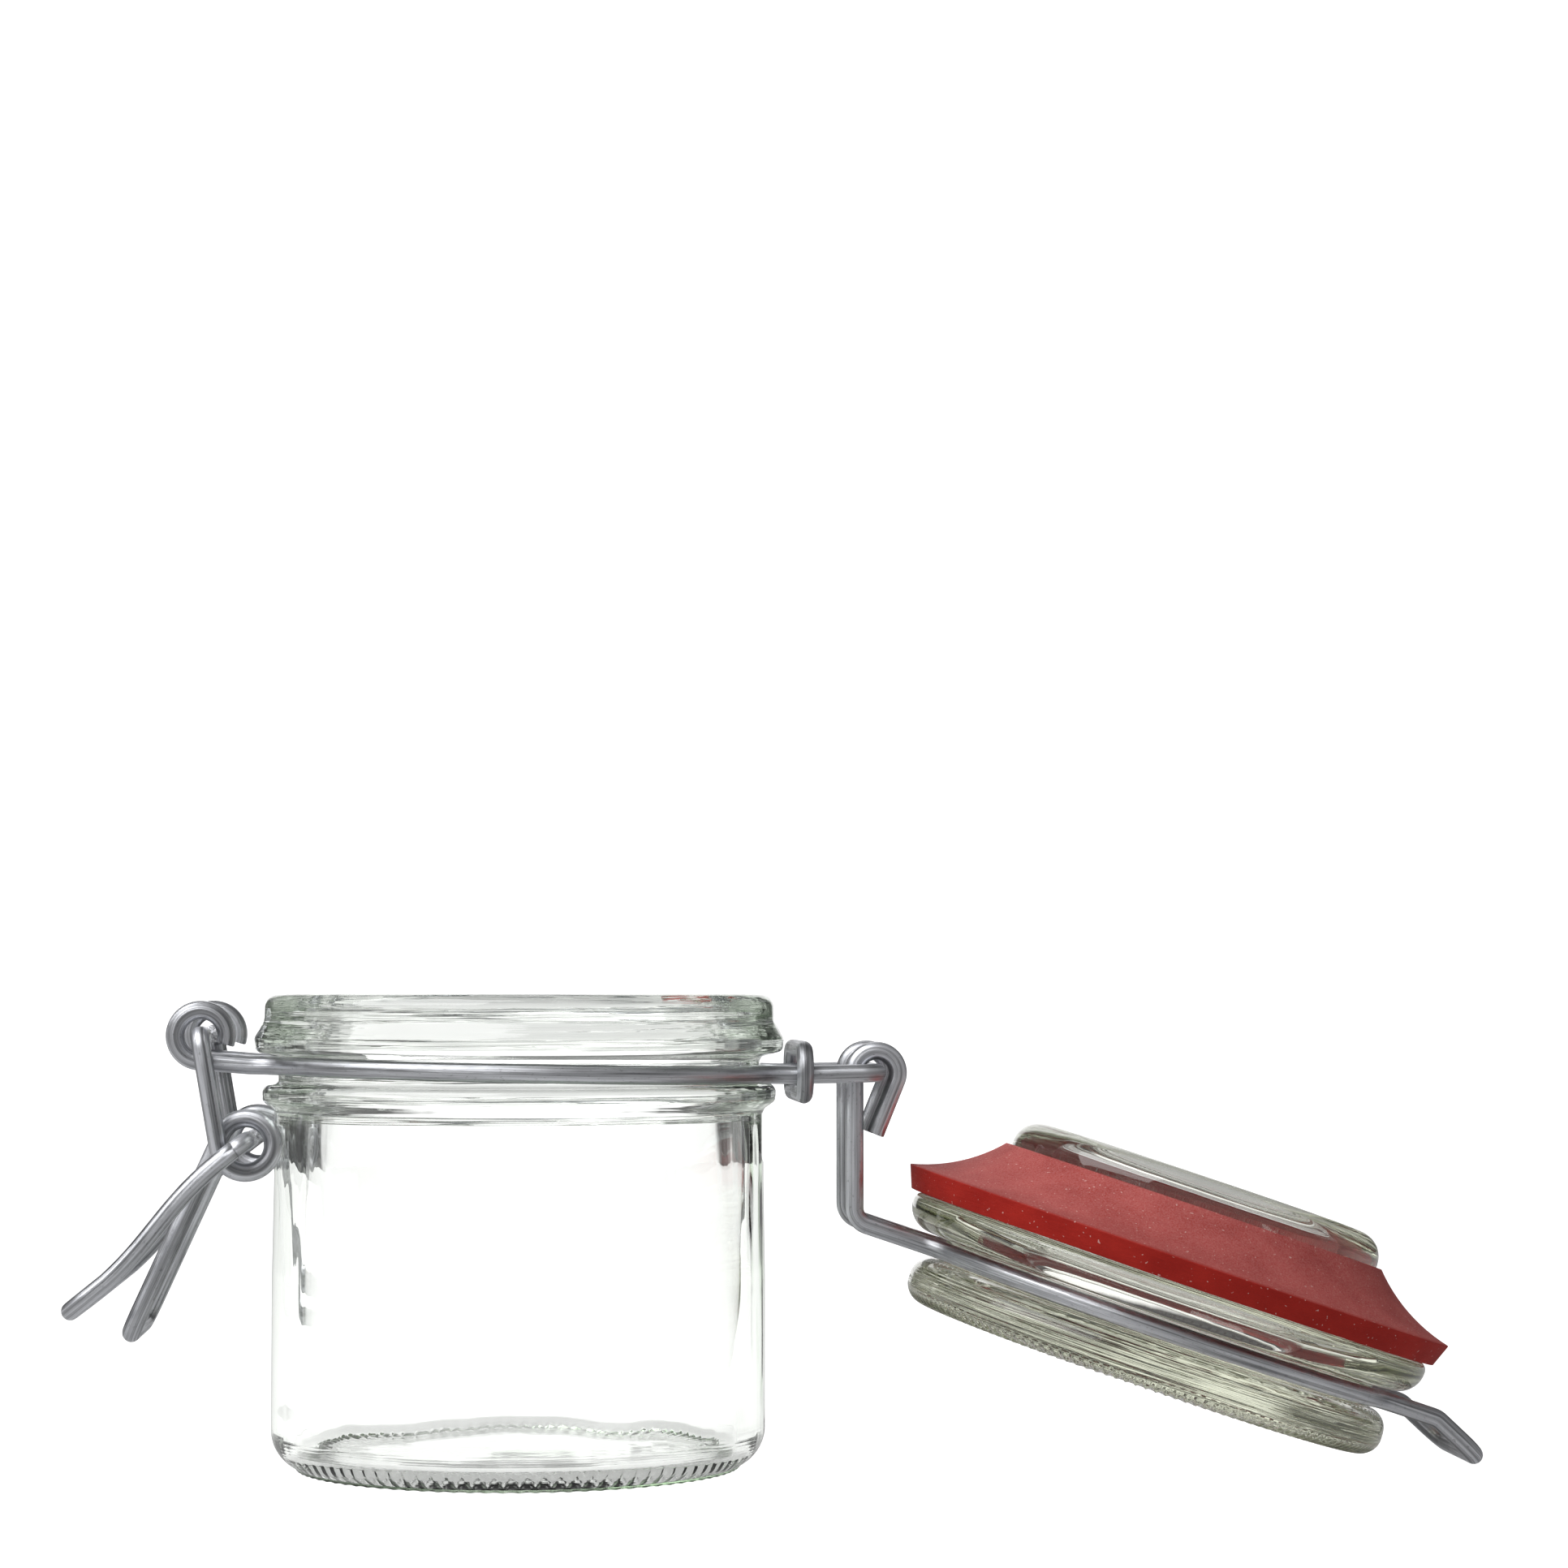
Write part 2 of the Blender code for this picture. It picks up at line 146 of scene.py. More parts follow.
# Wires
WIRE_R = 1.15
TIE_WIRE_R = 1.05
WIRE_SIDES = 36
FILLET = 5.0
NECK_RING_R = 31.85
NECK_RING_Z = 49.9
NECK_RING_FALL = 0.02
HINGE_ARM_Y = 9.8
HINGE_BEND = 1.9
EYE_R = 3.15
EYE_Y = 10.8
EYE_END_DEG = -20.0
TIE_X = 35.3
TIE_HALF_W = 12.35
TIE_HALF_H = 2.85
TIE_GAP = 0.5
TIE_RISE = 0.12
LID_RING_R = 30.0
LID_RING_H = 18.45
LEG_Y = 6.7
HOOK_R = 2.75
HOOK_TAIL_DEG = 22.0
HOOK_TAIL = 7.2
LEG_BEND = 2.3
TONGUE_Y = 10.0
TONGUE_BEND_U = 80.5
TONGUE_TIP_U = 87.1
TONGUE_REST_Z = 1.2
TONGUE_CORNER = 3.2
TONGUE_KNEE = 2.6
COIL_X = -33.6
COIL_Z = 40.75
COIL_R = 3.3
LEVER_ARM_Y = 13.4
HANDLE_Y = 10.8
HANDLE_END_X = -47.7
HANDLE_END_Z = 17.6
HANDLE_CORNER = 3.0
PIN_BEND = 1.7
LEVER_PIN_Y = 8.7
BAIL_Y = 16.0
BAIL_PIN_Y = 9.4
BAIL_LENGTH = 29.4
BAIL_REST_DEG = 224.3
BAIL_WAVE = 0.6
BAIL_CORNER = 3.2


# ---------------------------------------------------------------- mesh helpers

def mesh_piece(name, points, faces, local, place, material):
    """A mesh of points in millimetres, moved into the row frame by the matrix place.

    local keeps each point's place in the piece's own frame, for the materials to read.
    """
    mesh = bpy.data.meshes.new(name)
    mesh.from_pydata([place @ (Vector(p) * MM) for p in points], [], faces)
    attribute = mesh.attributes.new("local", "FLOAT_VECTOR", "POINT")
    attribute.data.foreach_set("vector", [c for p in local for c in p])
    mesh.materials.append(material)
    mesh.shade_smooth()
    obj = bpy.data.objects.new(name, mesh)
    bpy.context.scene.collection.objects.link(obj)
    return obj


def arc(cx, cy, radius, start_deg, end_deg, step_deg=6.0):
    """Points on an arc, both ends included."""
    count = max(2, math.ceil(abs(end_deg - start_deg) / step_deg))
    pts = []
    for i in range(count + 1):
        a = math.radians(start_deg + (end_deg - start_deg) * i / count)
        pts.append((cx + radius * math.cos(a), cy + radius * math.sin(a)))
    return pts


def arc_through(p, q, radius, step_deg=3.0):
    """The arc from p to q that bulges to the left of the way from p to q."""
    dx, dz = q[0] - p[0], q[1] - p[1]
    half = math.hypot(dx, dz) / 2
    rise = math.sqrt(radius * radius - half * half)
    cx = (p[0] + q[0]) / 2 + rise * dz / (2 * half)
    cz = (p[1] + q[1]) / 2 - rise * dx / (2 * half)
    a0 = math.degrees(math.atan2(p[1] - cz, p[0] - cx))
    a1 = math.degrees(math.atan2(q[1] - cz, q[0] - cx))
    sweep = (a1 - a0 + 180.0) % 360.0 - 180.0
    return arc(cx, cz, radius, a0, a0 + sweep, step_deg)


def bend(before, corner, after, radius, step_deg=6.0):
    """Round a corner of a path: the points of the bend that replace it."""
    a, b, c = Vector(before), Vector(corner), Vector(after)
    back = (a - b).normalized()
    ahead = (c - b).normalized()
    turn = math.pi - back.angle(ahead)
    if turn < 1e-4:
        return [tuple(b)]
    reach = radius * math.tan(turn / 2)
    start = b + back * reach
    side = (ahead - back * ahead.dot(back)).normalized()
    centre = start + side * radius
    count = max(2, math.ceil(math.degrees(turn) / step_deg))
    pts = []
    for i in range(count + 1):
        t = turn * i / count
        pts.append(tuple(centre - side * radius * math.cos(t) - back * radius * math.sin(t)))
    return pts


def rounded(corners, longest=1.5, closed=False):
    """An outline of (radius, height) points through corners (radius, height, rounding)."""
    flat = [(r, h, 0.0) for r, h, _ in corners]
    pts = [] if closed else [flat[0][:2]]
    last = len(corners)
    for i in range(last if closed else last - 2):
        j = i if closed else i + 1
        before, here, after = flat[j - 1], flat[j], flat[(j + 1) % last]
        pts += [p[:2] for p in bend(before, here, after, corners[j][2], 9.0)]
    if not closed:
        pts.append(flat[-1][:2])
    out = [pts[0]]
    for p in pts[1:]:
        gap = math.dist(p, out[-1])
        if gap < 0.01:
            continue
        count = math.ceil(gap / longest)
        start = out[-1]
        for i in range(1, count + 1):
            part = i / count
            out.append(tuple(a + (b - a) * part for a, b in zip(start, p)))
    return out


def turned(name, outline, steps, place, material, shift=None, fine=None, closed=False):
    """Turn an outline of (radius, height) points round its axis.

    shift(r, h, angle) moves a point by (dr, dh).  Points where fine(r, h) holds get four
    times as many steps round the axis.
    """
    points, rows = [], []
    for r, h in outline:
        if r < 1e-6:
            rows.append([len(points)])
            points.append((0.0, 0.0, h))
            continue
        count = steps * (4 if fine and fine(r, h) else 1)
        row = []
        for i in range(count):
            a = math.tau * i / count
            dr, dh = shift(r, h, a) if shift else (0.0, 0.0)
            row.append(len(points))
            points.append(((r + dr) * math.cos(a), (r + dr) * math.sin(a), h + dh))
        rows.append(row)
    faces = []
    pairs = list(zip(rows, rows[1:]))
    if closed:
        pairs.append((rows[-1], rows[0]))
    for one, two in pairs:
        faces += row_faces(one, two)
    return mesh_piece(name, points, faces, points, place, material)


def row_faces(one, two):
    """Faces between two neighbouring rows of points round the same axis.

    Either row may have several times as many points as the other, or be a single point.
    """
    few, many = sorted((len(one), len(two)))
    parts = few if few > 1 else many
    faces = []
    for i in range(parts):
        ends = []
        for row in (one, two):
            share = len(row) // parts
            if len(row) == 1:
                ends.append([row[0]])
            else:
                ends.append([row[(i * share + k) % len(row)] for k in range(share + 1)])
        faces.append(ends[1] + ends[0][::-1])
    return faces


def wire(name, path, radius, place, material, seed):
    """A drawn round wire along a path, with its faint lengthwise flats and square ends."""
    way = [Vector(p) for p in path]
    tangents = []
    for i in range(len(way)):
        a, b = way[max(i - 1, 0)], way[min(i + 1, len(way) - 1)]
        tangents.append((b - a).normalized())
    side = tangents[0].orthogonal().normalized()
    points, local, along = [], [], 0.0
    for i, (p, t) in enumerate(zip(way, tangents)):
        if i:
            along += (p - way[i - 1]).length
        side = (side - t * side.dot(t)).normalized()
        up = t.cross(side)
        for k in range(WIRE_SIDES):
            a = math.tau * k / WIRE_SIDES
            c, s = math.cos(a), math.sin(a)
            flat = noise.noise(Vector((2.1 * c, 2.1 * s, along / 60 + seed)))
            r = radius * (1 - 0.008 + 0.022 * flat)
            points.append(p + (side * c + up * s) * r)
            local.append((c * radius, s * radius, along + 200 * seed))
    faces = []
    for i in range(len(way) - 1):
        for k in range(WIRE_SIDES):
            m = (k + 1) % WIRE_SIDES
            a, b = i * WIRE_SIDES, (i + 1) * WIRE_SIDES
            faces.append((a + k, a + m, b + m, b + k))
    cap_rings(points, local, faces, way, tangents)
    return mesh_piece(name, points, faces, local, place, material)


def cap_rings(points, local, faces, way, tangents):
    """Close both ends of a wire with a small chamfer and a flat, inside the path's length."""
    last = len(way) - 1
    for ring, sign in ((0, -1), (last, 1)):
        base = ring * WIRE_SIDES
        centre, t = way[ring], tangents[ring]
        first = len(points)
        for k in range(WIRE_SIDES):
            p = points[base + k]
            points.append(centre + (p - centre) * 0.87)
            local.append(local[base + k])
        for k in range(WIRE_SIDES):
            points[base + k] = points[base + k] - t * sign * 0.12
        for k in range(WIRE_SIDES):
            m = (k + 1) % WIRE_SIDES
            quad = (base + k, base + m, first + m, first + k)
            faces.append(quad if sign > 0 else quad[::-1])
        ring_ids = list(range(first, first + WIRE_SIDES))
        faces.append(ring_ids if sign > 0 else ring_ids[::-1])


def mirrored(half):
    """A whole path from the half that starts on the y = 0 plane and lies at +y."""
    other = [(px, -py, pz) for px, py, pz in half[1:]]
    return list(reversed(other)) + half


def even(pts, longest=2.0, least=0.05):
    """The same path without repeated points and with long straight runs divided."""
    out = [Vector(pts[0])]
    for p in pts[1:]:
        p = Vector(p)
        gap = (p - out[-1]).length
        if gap < least:
            continue
        start = out[-1].copy()
        count = math.ceil(gap / longest)
        for i in range(1, count + 1):
            out.append(start.lerp(p, i / count))
    return out


# ---------------------------------------------------------------- glass and rubber

GENTLE = 60.0      # radius of the slight bends between two nearly straight walls


def jar_outline():
    """From the middle of the inner floor, up the bore, over the rim and down to the foot."""
    heel = [(r, h, 0.3) for r, h in arc(BODY_R - HEEL_R, HEEL_R, HEEL_R, 0, -68)]
    return rounded([
        (0.0, FLOOR_Z + 0.7, 0.0), (14.0, FLOOR_Z + 0.45, 40.0), (BORE_R, FLOOR_Z, FLOOR_ROUND),
        (BORE_R, BORE_TOP_Z, GENTLE), (MOUTH_R, NECK_BORE_Z, GENTLE), (MOUTH_R, RIM_Z, MOUTH_ROUND),
        (FINISH_R - 0.1, RIM_Z, RIM_ROUND), (FINISH_R, 56.0, 2.5),
        # upper bead, groove for the neck wire and lower bead
        (33.4, 53.8, 0.9), (33.2, 52.1, 0.8), (GROOVE_R, 51.4, 0.7),
        (GROOVE_R, 48.2, 0.5), (32.4, 47.85, 1.05), (32.35, 45.9, 1.0),
        (SHOULDER_R, 44.8, 0.8), (SHOULDER_R, 36.0, GENTLE), (BODY_R, BELLY_Z, GENTLE), *heel,
        # foot and push-up
        (FOOT_OUTER_R, 0.0, 0.15), (FOOT_R, 0.0, 0.35), (FOOT_R - 1.2, 0.3, 1.0),
        (18.0, PUSH_UP - 0.1, 12.0), (0.0, PUSH_UP, 0.0)])


def lid_outline():
    """From the middle of the knob's top, down the outside and up inside the hollow plug."""
    panel = KNOB_TOP - PANEL_DEPTH
    return rounded([
        (0.0, panel, 0.0), (PANEL_R, panel, 0.4), (PANEL_R + 1.0, KNOB_TOP, 0.4),
        (KNOB_R, KNOB_TOP, KNOB_ROUND), (KNOB_R, KNOB_LOW, KNOB_ROUND),
        (LID_GROOVE_R, KNOB_LOW, 0.6), (LID_GROOVE_R, FLANGE_TOP, 0.6),
        (FLANGE_R, FLANGE_TOP, FLANGE_ROUND), (FLANGE_R, SEAT, SEAT_ROUND), (PLUG_R, SEAT, 0.5),
        (PLUG_FOOT_R, PLUG_LOW, PLUG_ROUND), (HOLLOW_R, PLUG_LOW, 0.7),
        (HOLLOW_R - 0.7, PLUG_LOW + 2.2, 1.5), (HOLLOW_TOP_R, HOLLOW_TOP, HOLLOW_ROUND),
        (0.0, HOLLOW_TOP, 0.0)])


def seal_outline():
    """The dished ring's closed outline, its four edges slightly rounded."""
    tip = (SEAL_IN_R, SEAL_TIP)
    tip_low = (SEAL_IN_R, SEAL_TIP_LOW)
    out = (SEAL_OUT_R, SEAL_OUT)
    out_low = (SEAL_OUT_LOW_R, SEAL_OUT_LOW)
    jar_side = arc_through(tip, out, SEAL_TOP_CURVE)
    lid_side = arc_through(tip_low, out_low, SEAL_LOW_CURVE)
    corners = [(r, h, 0.12) for r, h in list(reversed(jar_side)) + lid_side]
    return rounded(corners, 0.8, closed=True)


def wobble(a, h, turns, pitch, seed):
    """Smooth noise on a cylinder: about turns bumps round it and one each pitch up it."""
    spread = turns / 4.0
    return noise.noise(Vector((spread * math.cos(a), spread * math.sin(a), h / pitch + seed)))


def ramp(x, low, high):
    t = min(1.0, max(0.0, (x - low) / (high - low)))
    return t * t * (3 - 2 * t)


def jar_shift(r, h, a):
    """Ribs under the foot and the uneven inner wall of pressed and blown glass."""
    dr = dh = 0.0
    if h < 3.0 and r > FOOT_R - 2:
        band = ramp(r, FOOT_R - 0.6, FOOT_R + 0.4) * (1 - ramp(r, 27.0, 28.2))
        crest = 0.5 + 0.5 * math.cos(FOOT_RIBS * a)
        dh += FOOT_RIB_DEPTH * band * (1 - crest ** 1.5)
    inside = r <= BORE_R + 0.05 and h > FLOOR_Z - 0.1
    if inside:
        wall = ramp(h, 5.0, 10.0) * (1 - ramp(h, 55.5, 57.5)) * ramp(r, 24.0, 26.5)
        dr += wall * (0.20 * wobble(a, h, 9, 70, 1.0) + 0.07 * wobble(a, h, 24, 34, 5.0))
        dr += wall * 0.02 * wobble(a, h, 3, 1.7, 9.0) * ramp(h, 42.0, 46.0)
        middle = ramp(BORE_R - 4.0 - r, 0.0, 6.0)
        dh += 0.10 * middle * noise.noise(Vector((r * math.cos(a), r * math.sin(a), 3.0)) / 9)
    return dr, dh


def ribbed_foot(r, h):
    """Where the jar's outline needs finer steps round its axis."""
    return h < 2.2 and 24.0 < r < 30.2


def ribbed_knob(r, h):
    """Where the lid's outline needs finer steps round its axis."""
    return h > 23.5 and r > 24.9


def lid_shift(r, h, a):
    """Ribs round the knob's face, two mould seams and slightly wavy pressed surfaces."""
    dr = dh = 0.0
    if h > KNOB_TOP - 2.7 and r > PANEL_R + 0.8:
        band = ramp(r, PANEL_R + 1.0, PANEL_R + 2.2) * (1 - ramp(r, 30.4, 31.4))
        crest = 0.5 + 0.5 * math.cos(KNOB_RIBS * a)
        dh -= KNOB_RIB_DEPTH * band * (1 - crest ** 1.5)
    if r > 28.0 and SEAT < h < KNOB_TOP:
        pressed = 0.012 + 0.045 * ramp(h, KNOB_LOW - 0.4, KNOB_LOW + 0.6)
        dr += pressed * wobble(a, h, 6, 1.1, 2.0)
        for seam in MOULD_SEAMS_DEG:
            off = math.remainder(a - math.radians(seam), math.tau) * r
            dr += 0.07 * math.exp(-(off / 0.35) ** 2)
    if r < HOLLOW_R and h < HOLLOW_TOP + 0.1:
        dr += 0.10 * wobble(a, h, 7, 14.0, 6.0) * ramp(r, 10.0, 16.0)
        roof = 1 - ramp(r, 14.0, 17.0)
        dh += 0.15 * roof * noise.noise(Vector((r * math.cos(a), r * math.sin(a), 8.0)) / 8)
    return dr, dh


def seal_shift(r, h, a):
    """A rubber ring cut from sheet: nearly even, with a slow wave along its edge."""
    outer = ramp(r, 27.0, 35.0)
    return 0.06 * outer * wobble(a, 0.0, 8, 1.0, 4.0), 0.16 * outer * wobble(a, 0.0, 6, 1.0, 7.0)


# ---------------------------------------------------------------- wire paths

def neck_z(x):
    return NECK_RING_Z - NECK_RING_FALL * x


def ring_exit(radius, y):
    """Where a fillet joins a ring to a straight wire at the given y: centre x, ring angle."""
    reach = radius + FILLET
    cx = math.sqrt(reach * reach - (y + FILLET) ** 2)
    return cx, math.degrees(math.asin((y + FILLET) / reach))


def neck_wire_path():
    """Half of the neck wire: hinge bar, arm, half ring, front arm and eye."""
    pts = [(HINGE_X, 0.0, HINGE_Z)]
    corner = (HINGE_X, HINGE_ARM_Y, HINGE_Z)
    back_x, back_deg = ring_exit(NECK_RING_R, HINGE_ARM_Y)
    arm_end = (back_x, HINGE_ARM_Y, neck_z(back_x))
    pts += bend(pts[0], corner, arm_end, HINGE_BEND)
    front_x, front_deg = ring_exit(NECK_RING_R, EYE_Y)
    ring = arc(back_x, HINGE_ARM_Y + FILLET, FILLET, 270, 180 + back_deg)
    ring += arc(0.0, 0.0, NECK_RING_R, back_deg, 180 - front_deg, 3.0)
    ring += arc(-front_x, EYE_Y + FILLET, FILLET, -front_deg, -90)
    pts += [(px, py, neck_z(px)) for px, py in ring]
    # The arm meets the eye on a tangent, then the eye winds over the top.
    dx, dz = EYE_X + front_x, EYE_Z - neck_z(-front_x)
    heading = math.degrees(math.atan2(dz, dx) + math.asin(EYE_R / math.hypot(dx, dz)))
    pts += [(px, EYE_Y, pz) for px, pz in arc(EYE_X, EYE_Z, EYE_R, heading + 90, EYE_END_DEG)]
    return pts


def tie_path():
    """An oblong link round both hinge arms, its two ends butting underneath."""
    z = HINGE_Z + TIE_RISE
    straight = TIE_HALF_W - TIE_HALF_H
    loop = [(-TIE_GAP / 2, z - TIE_HALF_H)]
    loop += arc(-straight, z, TIE_HALF_H, 270, 90)
    loop += arc(straight, z, TIE_HALF_H, 90, -90)
    loop.append((TIE_GAP / 2, z - TIE_HALF_H))
    return [(TIE_X, py, pz) for py, pz in loop]


def lid_wire_path():
    """Half of the lid wire in the lid's frame: tongue, half ring, leg and hinge hook."""
    lean = math.radians(LID_OPEN_DEG - 180.0)
    tip_h = (HINGE_Z - TONGUE_REST_Z - TONGUE_TIP_U * math.sin(lean)) / math.cos(lean)
    tip = (-TONGUE_TIP_U, 0.0, tip_h)
    corner = (tip[0], TONGUE_Y, tip_h)
    knee = (-TONGUE_BEND_U, TONGUE_Y, LID_RING_H)
    front_x, front_deg = ring_exit(LID_RING_R, TONGUE_Y)
    arm = (-HINGE_X - front_x, TONGUE_Y, LID_RING_H)
    pts = [tip]
    pts += bend(tip, corner, knee, TONGUE_CORNER)
    pts += bend(corner, knee, arm, TONGUE_KNEE)
    back_x, back_deg = ring_exit(LID_RING_R, LEG_Y)
    ring = arc(arm[0], TONGUE_Y + FILLET, FILLET, -90, -front_deg)
    ring += arc(-HINGE_X, 0.0, LID_RING_R, 180 - front_deg, back_deg, 3.0)
    ring += arc(-HINGE_X + back_x, LEG_Y + FILLET, FILLET, 180 + back_deg, 270)
    pts += [(px, py, LID_RING_H) for px, py in ring]
    # The leg is tangent to the hook and stands upright while the lid is open.
    top = (HOOK_R * math.cos(lean), LEG_Y, HOOK_R * math.sin(lean))
    run = (LID_RING_H - top[2]) / math.cos(lean)
    knee = (top[0] - run * math.sin(lean), LEG_Y, LID_RING_H)
    pts += bend(pts[-1], knee, top, LEG_BEND)
    stop_deg = math.degrees(lean) - 180.0 - HOOK_TAIL_DEG
    pts += [(px, LEG_Y, pz) for px, pz in arc(0.0, 0.0, HOOK_R, math.degrees(lean), stop_deg)]
    px, _, pz = pts[-1]
    stop = math.radians(stop_deg)
    pts.append((px + HOOK_TAIL * math.sin(stop), LEG_Y, pz - HOOK_TAIL * math.cos(stop)))
    return pts


def lever_path():
    """Half of the closing lever about its pivot: handle bar, coil, arm and pin."""
    kx, kz = COIL_X - EYE_X, COIL_Z - EYE_Z
    hx, hz = HANDLE_END_X - EYE_X, HANDLE_END_Z - EYE_Z
    # Both the handle and the arm leave the coil on tangents.
    dx, dz = hx - kx, hz - kz
    end = math.degrees(math.atan2(dz, dx) - math.acos(COIL_R / math.hypot(dx, dz)))
    begin = math.degrees(math.atan2(-kz, -kx) + math.acos(COIL_R / math.hypot(kx, kz)))
    sweep = (end - begin) % 360.0
    coil = arc(kx, kz, COIL_R, begin + sweep, begin)
    off = (coil[0][0], HANDLE_Y, coil[0][1])
    bar = (hx, 0.0, hz)
    pts = [bar]
    pts += bend(bar, (hx, HANDLE_Y, hz), off, HANDLE_CORNER)
    for i, (px, pz) in enumerate(coil):
        part = i / (len(coil) - 1)
        pts.append((px, HANDLE_Y + (LEVER_ARM_Y - HANDLE_Y) * part, pz))
    pin = (0.0, LEVER_PIN_Y, 0.0)
    pts += bend(pts[-1], (0.0, LEVER_ARM_Y, 0.0), pin, PIN_BEND)
    pts.append(pin)
    return pts


def bail_path():
    """Half of the bail about its pivot: bar, gently waved arm and pin."""
    a = math.radians(BAIL_REST_DEG)
    ax, az = math.cos(a), math.sin(a)
    bar = (BAIL_LENGTH * ax, 0.0, BAIL_LENGTH * az)
    arm = []
    for i in range(18, 0, -1):
        along = BAIL_LENGTH * i / 20
        off = BAIL_WAVE * math.sin(math.tau * i / 20)
        arm.append((along * ax + off * az, BAIL_Y, along * az - off * ax))
    pts = [bar]
    pts += bend(bar, (bar[0], BAIL_Y, bar[2]), arm[2], BAIL_CORNER)
    pts += arm[2:]
    pin = (0.0, BAIL_PIN_Y, 0.0)
    pts += bend(arm[-1], (0.0, BAIL_Y, 0.0), pin, PIN_BEND)
    pts.append(pin)
    return pts


# ---------------------------------------------------------------- material helpers

class Nodes:
    """A short way to write a material's node tree."""

    def __init__(self, name):
        self.material = bpy.data.materials.new(name)
        self.material.use_nodes = True
        self.tree = self.material.node_tree
        self.bsdf = self.tree.nodes["Principled BSDF"]
        self.output = self.tree.nodes["Material Output"]
        self.local = self.tree.nodes.new("ShaderNodeAttribute")
        self.local.attribute_name = "local"

    def add(self, kind, inputs=(), **settings):
        node = self.tree.nodes.new(kind)
        for key, value in settings.items():
            setattr(node, key, value)
        for key, value in dict(inputs).items():
            self.set(node.inputs[key], value)
        return node

    def set(self, socket, value):
        if isinstance(value, bpy.types.NodeSocket):
            self.tree.links.new(value, socket)
        else:
            socket.default_value = value

    def stretched(self, x, y, z):
        """The piece's own coordinates, in millimetres, each scaled."""
        node = self.add("ShaderNodeMapping", {"Vector": self.local.outputs["Vector"]})
        node.inputs["Scale"].default_value = (x, y, z)
        return node.outputs[0]

    def height(self):
        """The height in the piece's own frame, millimetres."""
        return self.add("ShaderNodeSeparateXYZ", {"Vector": self.local.outputs["Vector"]}).outputs["Z"]

    def between(self, value, low, high):
        """0 below low, 1 above high."""
        limits = {"Value": value, "From Min": low, "From Max": high}
        return self.add("ShaderNodeMapRange", limits).outputs["Result"]

    def noise(self, vector, scale, detail=3.0, roughness=0.55):
        node = self.add("ShaderNodeTexNoise", {"Vector": vector, "Scale": scale, "Detail": detail,
                                               "Roughness": roughness})
        return node.outputs["Fac"]

    def ramp(self, value, *stops):
        """Stops are (position, colour or grey)."""
        node = self.add("ShaderNodeValToRGB", {"Fac": value})
        elements = node.color_ramp.elements
        while len(elements) < len(stops):
            elements.new(0.5)
        for element, (position, colour) in zip(elements, stops):
            element.position = position
            element.color = colour if isinstance(colour, tuple) else (colour, colour, colour, 1.0)
        return node.outputs[0]

    def math(self, operation, a, b=0.0, c=0.0):
        node = self.add("ShaderNodeMath", operation=operation)
        for socket, value in zip(node.inputs, (a, b, c)):
            self.set(socket, value)
        return node.outputs[0]

    def mix(self, factor, a, b, blend="MIX"):
        node = self.add("ShaderNodeMix", data_type="RGBA", blend_type=blend)
        for socket, value in zip((node.inputs[0], node.inputs[6], node.inputs[7]), (factor, a, b)):
            self.set(socket, value)
        return node.outputs[2]

    def bump(self, height, distance_mm, strength=1.0, normal=None):
        node = self.add("ShaderNodeBump", {"Height": height, "Strength": strength,
                                           "Distance": distance_mm * MM})
        if normal is not None:
            self.set(node.inputs["Normal"], normal)
        return node.outputs[0]

    def principled(self, **values):
        for key, value in values.items():
            self.set(self.bsdf.inputs[key.replace("_", " ").title().replace("Ior", "IOR")], value)


def glass_material(name, tint, density, lines_above, line_depth):
    """Clear pressed glass: thickness tints it, and drawn-out ripples bend what is behind it."""
    n = Nodes(name)
    ripples = n.noise(n.stretched(0.022, 0.022, 1.6), 1.0, 2.0, 0.5)
    ripples = n.math("MULTIPLY", ripples, n.between(n.height(), lines_above, lines_above + 3.0))
    waves = n.noise(n.stretched(0.16, 0.16, 0.03), 1.0, 2.0, 0.5)
    fine = n.bump(ripples, line_depth, 1.0)
    n.principled(base_color=(1.0, 1.0, 1.0, 1.0), roughness=0.0, ior=1.5, transmission_weight=1.0)
    n.set(n.bsdf.inputs["Normal"], n.bump(waves, 0.10, 1.0, fine))
    body = n.add("ShaderNodeVolumeAbsorption", {"Color": tint, "Density": density})
    n.tree.links.new(body.outputs[0], n.output.inputs["Volume"])
    return n.material


def steel_material(name):
    """Zinc-coated drawn wire: lengthwise drawing lines, a cloudy coat and rubbed patches."""
    n = Nodes(name)
    base = (0.60, 0.61, 0.64)
    lines = n.noise(n.stretched(4.0, 4.0, 0.05), 1.0, 4.0, 0.65)
    bands = n.noise(n.stretched(1.2, 1.2, 0.03), 1.0, 2.0, 0.5)
    cloud = n.noise(n.stretched(0.9, 0.9, 0.35), 1.0, 4.0, 0.6)
    specks = n.noise(n.stretched(3.0, 3.0, 1.4), 1.0, 3.0, 0.7)
    dark = tuple(0.42 * c for c in base) + (1.0,)
    light = tuple(min(1.0, 1.40 * c) for c in base) + (1.0,)
    tone = n.ramp(n.math("ADD", n.math("MULTIPLY", lines, 0.5), n.math("MULTIPLY", bands, 0.5)),
                  (0.40, dark), (0.60, light))
    spots = n.ramp(specks, (0.60, 1.0), (0.72, 0.62))
    colour = n.mix(1.0, tone, spots, "MULTIPLY")
    n.principled(metallic=1.0, base_color=colour, roughness=n.ramp(cloud, (0.35, 0.34), (0.65, 0.54)))
    coarse = n.bump(bands, 0.20, 1.0)
    drawn = n.bump(lines, 0.05, 1.0, coarse)
    n.set(n.bsdf.inputs["Normal"], n.bump(cloud, 0.03, 0.6, drawn))
    return n.material


